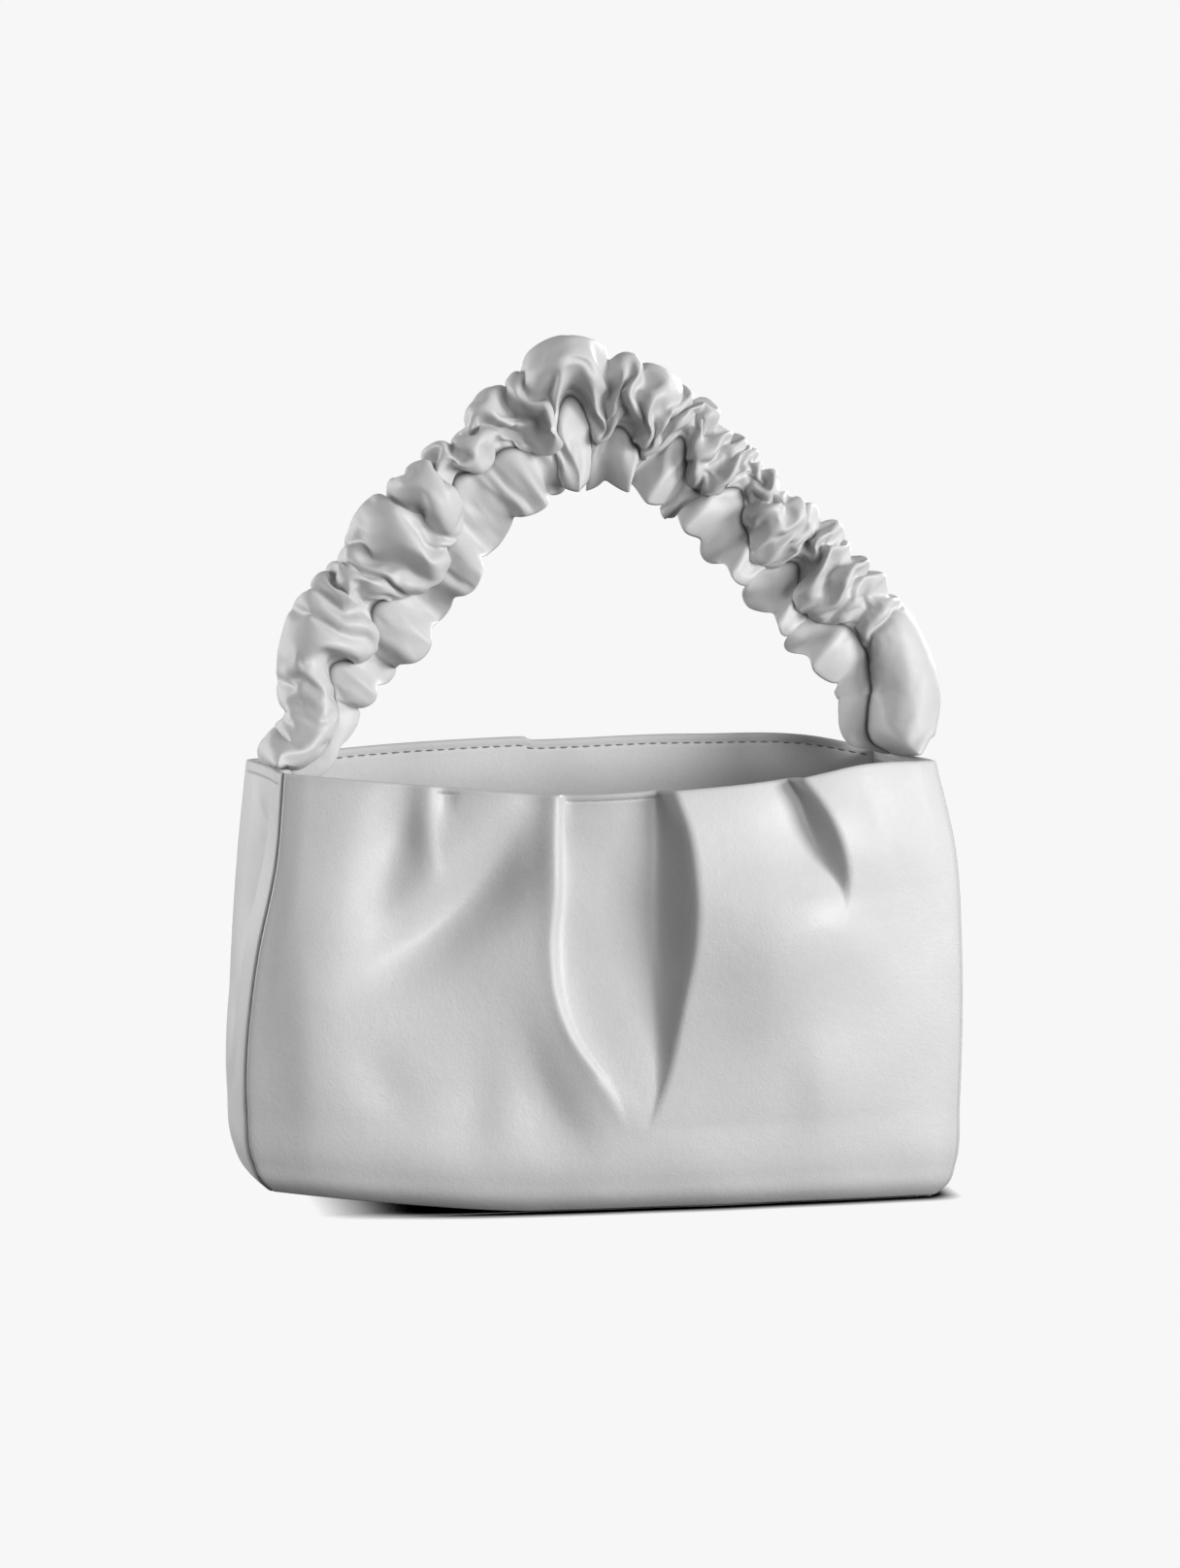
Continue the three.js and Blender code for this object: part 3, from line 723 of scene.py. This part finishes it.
# Along the handle: its middle line, the leather's fullness, the distance between folds, how flat it is
# pressed, how wide it flares, the height of its puffs, how much it is let out, and how round it is.
ARCH_COLUMNS = ("x", "z", "fullness", "spacing", "flat", "flare", "puff", "let_out", "round")
ARCH = np.array([
    (-109.6, 151.1, 1.05, 20, 1.0, 1.0, 0, 0, 0.9),
    (-108, 154.3, 1.1, 20, 0.6, 0.92, 0.3, 0, 0.85),
    (-101.5, 158.6, 1.15, 20, 0.34, 0.72, 0.8, 0.03, 0.84),
    (-96, 166.6, 1.25, 20, 0.26, 0.48, 1.3, 0.1, 0.86),
    (-93, 176, 1.35, 20, 0.16, 0.28, 2.2, 0.3, 0.88),
    (-88, 186, 1.45, 20, 0.12, 0.16, 4.5, 0.7, 0.95),
    (-81, 195, 1.5, 20, 0.04, 0.05, 5, 1, 1.05),
    (-73, 205, 1.5, 21, 0, 0, 5, 1, 1.1),
    (-64, 217, 1.5, 22, 0, 0, 5, 1, 1.1),
    (-54, 231, 1.5, 22, 0, 0, 5, 1, 1.1),
    (-42, 246.5, 1.5, 21, 0, 0, 5, 1, 1.05),
    (-29, 258, 1.5, 20, 0, 0, 5, 1, 1.05),
    (-16, 266, 1.5, 20, 0, 0, 6, 1, 1.15),
    (-3, 271, 1.5, 19, 0, 0, 6, 1, 1.35),
    (10.5, 270, 1.5, 15, 0, 0, 5, 1, 1.2),
    (23.5, 267, 1.5, 12, 0, 0, 4.5, 1, 1.05),
    (34.5, 261, 1.5, 11, 0, 0, 4.5, 1, 1),
    (44, 254, 1.5, 11, 0, 0, 4.5, 1, 0.98),
    (53, 246, 1.5, 11, 0, 0, 4.5, 1, 0.95),
    (64, 234, 1.5, 11, 0, 0, 4.5, 1, 0.92),
    (76, 221.5, 1.5, 12, 0, 0, 5, 1, 0.95),
    (87.5, 209.5, 1.5, 14, 0, 0, 4.5, 1, 1),
    (99, 198, 1.4, 16, 0, 0.02, 3, 0.8, 1),
    (109, 188, 1.12, 24, 0, 0.1, 1.2, 0.25, 1.05),
    (115, 176, 1.04, 30, 0, 0.3, 0.3, 0.05, 1.08),
    (114.6, 165, 1.03, 30, 0.03, 0.58, 0, 0, 1.08),
    (114.2, 159, 1.03, 30, 0.14, 0.8, 0, 0, 1.05),
    (114.6, 155.6, 1.03, 30, 0.5, 0.93, 0, 0, 1),
    (114.8, 152.6, 1.03, 30, 1.0, 1.0, 0, 0, 1),
], float)

# The sewn line swings out and in between the puffs: distances along the handle and out from its middle.
SEWN_LINE = np.array([
    (0, -10), (12, -13), (23, -12), (33, -6), (41, 0), (50, -8), (57, -7), (66, 1), (77, -6.5), (87, -9.5),
    (102, -7), (110, -4), (118, 4.5), (127, 0), (137, 1), (145, -4), (154, -7.5), (164, 8), (174, -9),
    (180, -2), (188, -7), (196, -9.5), (202, 3), (209, -3), (221, -8), (229, 2), (241, -5), (256, -9),
    (263, 0), (272, -9), (282, -8), (293, -2.5), (301, -4), (316, -10), (336, -12), (348, -12),
], float)

# The creases that show best on the front: where along the handle each starts at the outer edge and ends
# at the sewn line, the share of that way between which it shows, and its depth and width.
# Others are spread by chance.
CREASES = [
    (50, 54, 0.1, 0.9, 2.2, 3),
    (57, 62, 0, 0.9, 2.8, 3),
    (66, 66, -0.3, 0.3, 4.5, 3),
    (74, 78, 0.35, 1, 3.5, 2),
    (80, 88, -0.2, 0.7, 5, 4.5),
    (95, 97, 0.45, 1, 3.2, 2),
    (98, 102, -0.3, 0.75, 5.5, 2.4),
    (116, 113, -0.3, 0.4, 5.5, 2.6),
    (127, 148, -0.3, 1.2, 9, 3.2),
    (146, 149, 0.15, 0.75, 7, 4.5),
    (155, 158, -0.2, 0.5, 4.5, 3),
    (174, 172, -0.3, 1, 8, 3),
]
FRONT_FACE = -1
BACK_FACE = 1
CHANCE_CREASES_FROM = {FRONT_FACE: 178, BACK_FACE: 30}
CHANCE_CREASES_TO = 300
FRILL_LOBES = (12, 38, 65, 92, 135, 160, 187, 204, 228, 250, 275, 294, 330)
CHANNEL_ROUND = 80.0
FRILL_WIDTH = 13.0
SLEEVE_STEP = 1.7
SEWN_END = {"half_thickness": 2.6, "half_width": 27.0}
HEM_SLOPE = 1 / 72
SEAM_FLAT = 2.4
LET_OUT = 0.42
FRILL_LET_OUT = 0.2
RELAX_FRAMES = 20
SIM_SCALE = 10

sleeve_radius = CHANNEL_ROUND / (2 * math.pi)
row_length = np.concatenate([[0], np.cumsum(np.hypot(np.diff(ARCH[:, 0]), np.diff(ARCH[:, 1])))])
handle_length = row_length[-1]
fine = np.linspace(0, handle_length, 4000)
rng = np.random.default_rng(5)


def arch(column, at):
    """One size of the sleeve at a distance along the handle."""
    return smooth_read(row_length, ARCH[:, ARCH_COLUMNS.index(column)], at)


# Rings stand closer than their real distance where the leather is full. Each ring runs from the frill's
# tip by the front of the frill, round the channel and back by the far side of the frill.
sewn_along = np.concatenate([[0], np.cumsum(np.diff(fine) * arch("fullness", fine)[1:])])
ring_count = int(sewn_along[-1] / SLEEVE_STEP)
here = np.interp(np.linspace(0, sewn_along[-1], ring_count), sewn_along, fine)[:, None]
frill_count = int(FRILL_WIDTH / SLEEVE_STEP)
channel_count = 2 * int(CHANNEL_ROUND / SLEEVE_STEP / 2)
round_count = channel_count + 2 * frill_count
seam_columns = [frill_count, frill_count + channel_count]
k = np.arange(round_count)
in_channel = (k >= seam_columns[0]) & (k <= seam_columns[1])
angle = np.where(in_channel, math.pi + 2 * math.pi * (k - frill_count) / channel_count, math.pi)
up_the_frill = 1 - k / frill_count
down_the_frill = (k - frill_count - channel_count) / frill_count
frill_out = np.where(in_channel, 0, np.where(k < frill_count, up_the_frill, down_the_frill))
frill_side = np.where(in_channel, 0, np.where(k < frill_count, FRONT_FACE, BACK_FACE))
face = ((angle - 2 * math.pi) / math.pi)[None, :]
near_seam = ((1 - np.cos(angle))[None, :] / 2) ** 4
flat = np.clip(arch("flat", here), 0, 1)
flare = np.clip(arch("flare", here), 0, 1)
puff = np.clip(arch("puff", here), 0, None)
gathered = np.clip(puff / 4.5, 0, 1)

# Puffs stand between creases that run across the sleeve, and a crease may go on over the outer edge.
creases = [(FRONT_FACE,) + row for row in CREASES]
for side, at in CHANCE_CREASES_FROM.items():
    while at < CHANCE_CREASES_TO:
        spacing = arch("spacing", np.array(at))
        shows_from = rng.uniform(-0.35, 0.5)
        creases.append((
            side,
            at + rng.uniform(-1.5, 1.5),
            at + rng.uniform(-3, 3),
            shows_from,
            shows_from + rng.uniform(0.5, 1.1),
            arch("puff", np.array(at)) * rng.uniform(0.7, 1.5),
            spacing * rng.uniform(0.1, 0.18),
        ))
        at += spacing * rng.uniform(0.3, 0.6)
bent = here + 0.9 * np.sin(7 * face + here / 17) + 0.6 * np.sin(13 * face - here / 11)
swell = 0.7 * puff * np.ones_like(face)
for side, outer_at, inner_at, shows_from, shows_to, depth, width in creases:
    across = side * face
    begun = smoothstep(shows_from - 0.25, shows_from + 0.1, across)
    ended = smoothstep(shows_to - 0.15, shows_to + 0.2, across)
    shown = begun * (1 - ended) * (0.5 + 0.5 * smoothstep(0, 0.35, across))
    from_line = np.abs(bent - outer_at - (inner_at - outer_at) * across) / width
    swell = swell - 1.3 * depth * shown * np.exp(-(from_line**1.4))

# The frill waves to and fro beyond the sewn line in rounded lobes.
seam = smooth_read(SEWN_LINE[:, 0], SEWN_LINE[:, 1], here)
turn = 2 * math.pi * np.interp(here, FRILL_LOBES, np.arange(len(FRILL_LOBES)))
ruffle = -gathered * (7.5 * np.tanh(1.5 * np.cos(turn)) + 1.2 * np.cos(2.1 * turn + 2))
lobes = 0.75 + 0.3 * np.abs(np.cos(turn)) ** 0.7
radius = (sleeve_radius - 1) * arch("round", here)
centre = (radius + seam) / 2
half = (radius - seam) / 2
swell = np.maximum(swell, -0.6 * half) * (1 - near_seam)
deep = 0.55 * radius + 0.4 * half
frill_tip = -0.75 * radius - FRILL_WIDTH * lobes
frill_apart = SEAM_FLAT * (1 - frill_out) + 1.5 * np.sin(math.pi * frill_out)
loose_out = np.where(
    in_channel,
    centre + (half + swell) * np.cos(angle),
    seam + (frill_tip - seam) * frill_out,
)
loose_side = np.where(
    in_channel,
    (deep + swell) * np.sin(angle) + SEAM_FLAT * near_seam**2 * np.sign(face) + 0.15 * near_seam * ruffle,
    ruffle * (0.15 + 0.85 * frill_out) + frill_side * frill_apart,
)

# Towards its ends the sleeve is pressed flat and flares. The ends rise from front to back, as the hems do.
flat_out = SEWN_END["half_thickness"] * np.cos(angle) - 0.2 * FRILL_WIDTH * frill_out
flat_side = np.where(
    in_channel,
    SEWN_END["half_width"] * np.sin(angle),
    0.6 * frill_side * (1 - frill_out),
)
place_out = loose_out + (flat_out - loose_out) * flat
place_side = loose_side + (flat_side - loose_side) * flare
run_x = arch("x", here + 0.5) - arch("x", here - 0.5)
run_z = arch("z", here + 0.5) - arch("z", here - 0.5)
run = np.hypot(run_x, run_z)
bunched = np.stack([
    arch("x", here) - run_z / run * place_out,
    place_side,
    arch("z", here) + run_x / run * place_out + flat * HEM_SLOPE * place_side,
], axis=-1)

index = np.arange(ring_count * round_count).reshape(ring_count, round_count)
beside = np.roll(index, -1, axis=1)
sleeve_faces = np.stack([index[:-1], index[1:], beside[1:], beside[:-1]], axis=-1).reshape(-1, 4).tolist()
middle = round_count // 2
for ring in (index[0], index[-1][::-1]):
    sleeve_faces.append((ring[0], ring[1], ring[-1]))
    sleeve_faces += [(ring[j], ring[j + 1], ring[-j - 1], ring[-j]) for j in range(1, middle - 1)]
    sleeve_faces.append((ring[middle - 1], ring[middle], ring[middle + 1]))
sleeve_mesh = bpy.data.meshes.new("handle_sleeve_leather")
sleeve_mesh.from_pydata((bunched.reshape(-1, 3) * MM * SIM_SCALE).tolist(), [], sleeve_faces)
sleeve = bpy.data.objects.new("handle_sleeve_leather", sleeve_mesh)
scene.collection.objects.link(sleeve)

# The leather is let out as cloth between its held ends and its sewn line, so it buckles into soft folds.
# It is simulated at ten times its size, which the solver handles better.
held = sleeve.vertex_groups.new(name="held")
held.add(index[[0, 1, -2, -1]].ravel().tolist(), 1.0, "REPLACE")
held.add(index[2:-2][:, seam_columns].ravel().tolist(), 1.0, "REPLACE")
kept_short = sleeve.vertex_groups.new(name="kept_short")
for ring, share in zip(index, np.clip(arch("let_out", here[:, 0]), 0, 1)):
    kept_short.add(ring[in_channel].tolist(), 1 - float(share), "REPLACE")
    kept_short.add(ring[~in_channel].tolist(), 1 - FRILL_LET_OUT * float(share), "REPLACE")
cloth = sleeve.modifiers.new("gather", "CLOTH")
cloth.settings.vertex_group_mass = "held"
cloth.settings.vertex_group_shrink = "kept_short"
cloth.settings.shrink_min = -LET_OUT
cloth.settings.shrink_max = 0.0
cloth.settings.quality = 6
cloth.settings.mass = 0.004
cloth.settings.tension_stiffness = 40
cloth.settings.compression_stiffness = 40
cloth.settings.shear_stiffness = 15
cloth.settings.bending_stiffness = 0.6
cloth.settings.tension_damping = 10
cloth.settings.compression_damping = 10
cloth.settings.shear_damping = 10
cloth.settings.bending_damping = 0.5
cloth.settings.air_damping = 4
cloth.settings.use_pressure = True
cloth.settings.uniform_pressure_force = 0.3
cloth.settings.effector_weights.gravity = 0
cloth.collision_settings.use_collision = False
cloth.point_cache.frame_start = 1
cloth.point_cache.frame_end = RELAX_FRAMES
for step in range(1, RELAX_FRAMES + 1):
    scene.frame_set(step)
finished = sleeve.evaluated_get(bpy.context.evaluated_depsgraph_get())
relaxed = bpy.data.meshes.new_from_object(finished)
places = np.empty(len(relaxed.vertices) * 3, np.float32)
relaxed.vertices.foreach_get("co", places)
sleeve_mesh.vertices.foreach_set("co", places)
bpy.data.meshes.remove(relaxed)
sleeve.modifiers.clear()
sleeve.vertex_groups.clear()
scene.frame_set(1)
places = np.empty(len(sleeve_mesh.vertices) * 3, np.float32)
sleeve_mesh.vertices.foreach_get("co", places)
sleeve_mesh.vertices.foreach_set("co", places / SIM_SCALE)

# Painted shade: deep creases and the sewn line are darkened, where their shadow falls.
painted_crease_and_seam_shade = 0.8 * smoothstep(0.5, 7, -swell) * in_channel
painted_crease_and_seam_shade[:, seam_columns] = 1
painted_crease_and_seam_shade = painted_crease_and_seam_shade.astype(np.float32).ravel()
sleeve_mesh.attributes.new("edge_wear_and_painted_shade", "FLOAT", "POINT").data.foreach_set("value", painted_crease_and_seam_shade)
sleeve_mesh.update()
sleeve_mesh.shade_smooth()
rounding = sleeve.modifiers.new("rounding", "SUBSURF")
rounding.levels = 1
rounding.render_levels = 1

# The handle leather's near-black edge colour paints the shadow in the creases and along the sewn line.
handle_leather = leather_material(
    "handle_leather", (0.6, 0.6, 0.605), (0.05, 0.05, 0.052), 0.46, 0.00009, edge_sharpness=2,
)
sleeve_mesh.materials.append(handle_leather)
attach(sleeve, "root")
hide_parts("handle_sleeve")


# Floor and studio light
# A plain pale floor glows into a pale room; its only dark is a painted contact shadow where the bag rests.
# Two lamps at the right front model the folds. Weaker ones at the left, behind and above light the rest.
ROOM_TONE = 0.93
ROOM_FILL = 0.2
FLOOR_FILL = 0.05
FLOOR_HALF = 6.0
FLOOR_LEVEL = -0.0002
CONTACT_SHADOW = 0.007
LAMP_TARGET = Vector((0, 0, 0.12))
LAMPS = {
    "key": {"place": (1.4, -1.27, 0.5), "size": 0.7, "power": 30},
    "front": {"place": (0.7, -1.6, 0.22), "size": 0.5, "power": 11.5},
    "above": {"place": (0.15, 0.0, 1.3), "size": 0.8, "power": 1},
    "left_fill": {"place": (-1.15, 0.35, 0.25), "size": 0.6, "power": 11},
    "back_right": {"place": (0.9, 1.0, 0.6), "size": 0.6, "power": 10},
    "back_left": {"place": (-0.9, 1.1, 0.5), "size": 0.8, "power": 4},
}

floor_corners = [
    (-FLOOR_HALF, -FLOOR_HALF, FLOOR_LEVEL),
    (FLOOR_HALF, -FLOOR_HALF, FLOOR_LEVEL),
    (FLOOR_HALF, FLOOR_HALF, FLOOR_LEVEL),
    (-FLOOR_HALF, FLOOR_HALF, FLOOR_LEVEL),
]
floor_mesh = bpy.data.meshes.new("floor")
floor_mesh.from_pydata(floor_corners, [], [(0, 1, 2, 3)])
floor = bpy.data.objects.new("floor", floor_mesh)
scene.collection.objects.link(floor)


def seen_and_cast(tree, seen, cast):
    """One tone where the room is looked at, and a lower one for the light that it throws on the bag."""
    ray = tree.nodes.new("ShaderNodeLightPath")
    tone = tree.nodes.new("ShaderNodeMix")
    tone.inputs[2].default_value = cast
    tone.inputs[3].default_value = seen
    tree.links.new(ray.outputs["Is Camera Ray"], tone.inputs[0])
    return tone.outputs[0]


floor_paint = bpy.data.materials.new("floor_paint")
floor_paint.use_nodes = True
floor_tree = floor_paint.node_tree
floor_shader = floor_tree.nodes["Principled BSDF"]
floor_shader.inputs["Base Color"].default_value = (0, 0, 0, 1)
floor_shader.inputs["Specular IOR Level"].default_value = 0.0
contact = floor_tree.nodes.new("ShaderNodeAmbientOcclusion")
contact.samples = 16
contact.inputs["Distance"].default_value = CONTACT_SHADOW
darkest = floor_tree.nodes.new("ShaderNodeMapRange")
darkest.inputs["From Min"].default_value = 0.35
darkest.inputs["From Max"].default_value = 1.0
floor_tone = seen_and_cast(floor_tree, ROOM_TONE, FLOOR_FILL)
floor_tree.links.new(contact.outputs["AO"], darkest.inputs["Value"])
floor_tree.links.new(darkest.outputs["Result"], floor_shader.inputs["Emission Color"])
floor_tree.links.new(floor_tone, floor_shader.inputs["Emission Strength"])
floor_mesh.materials.append(floor_paint)

room = bpy.data.worlds.new("room")
room.use_nodes = True
room_light = room.node_tree.nodes["Background"]
room_light.inputs["Color"].default_value = (1, 1, 1, 1)
room_tone = seen_and_cast(room.node_tree, ROOM_TONE, ROOM_FILL)
room.node_tree.links.new(room_tone, room_light.inputs["Strength"])
scene.world = room

for name, lamp in LAMPS.items():
    light = bpy.data.lights.new(name, "AREA")
    light.size = lamp["size"]
    light.energy = lamp["power"]
    lamp_object = bpy.data.objects.new(name, light)
    lamp_object.location = lamp["place"]
    lamp_object.rotation_euler = (Vector(lamp["place"]) - LAMP_TARGET).to_track_quat("Z", "Y").to_euler()
    scene.collection.objects.link(lamp_object)
scene.view_settings.view_transform = "Standard"
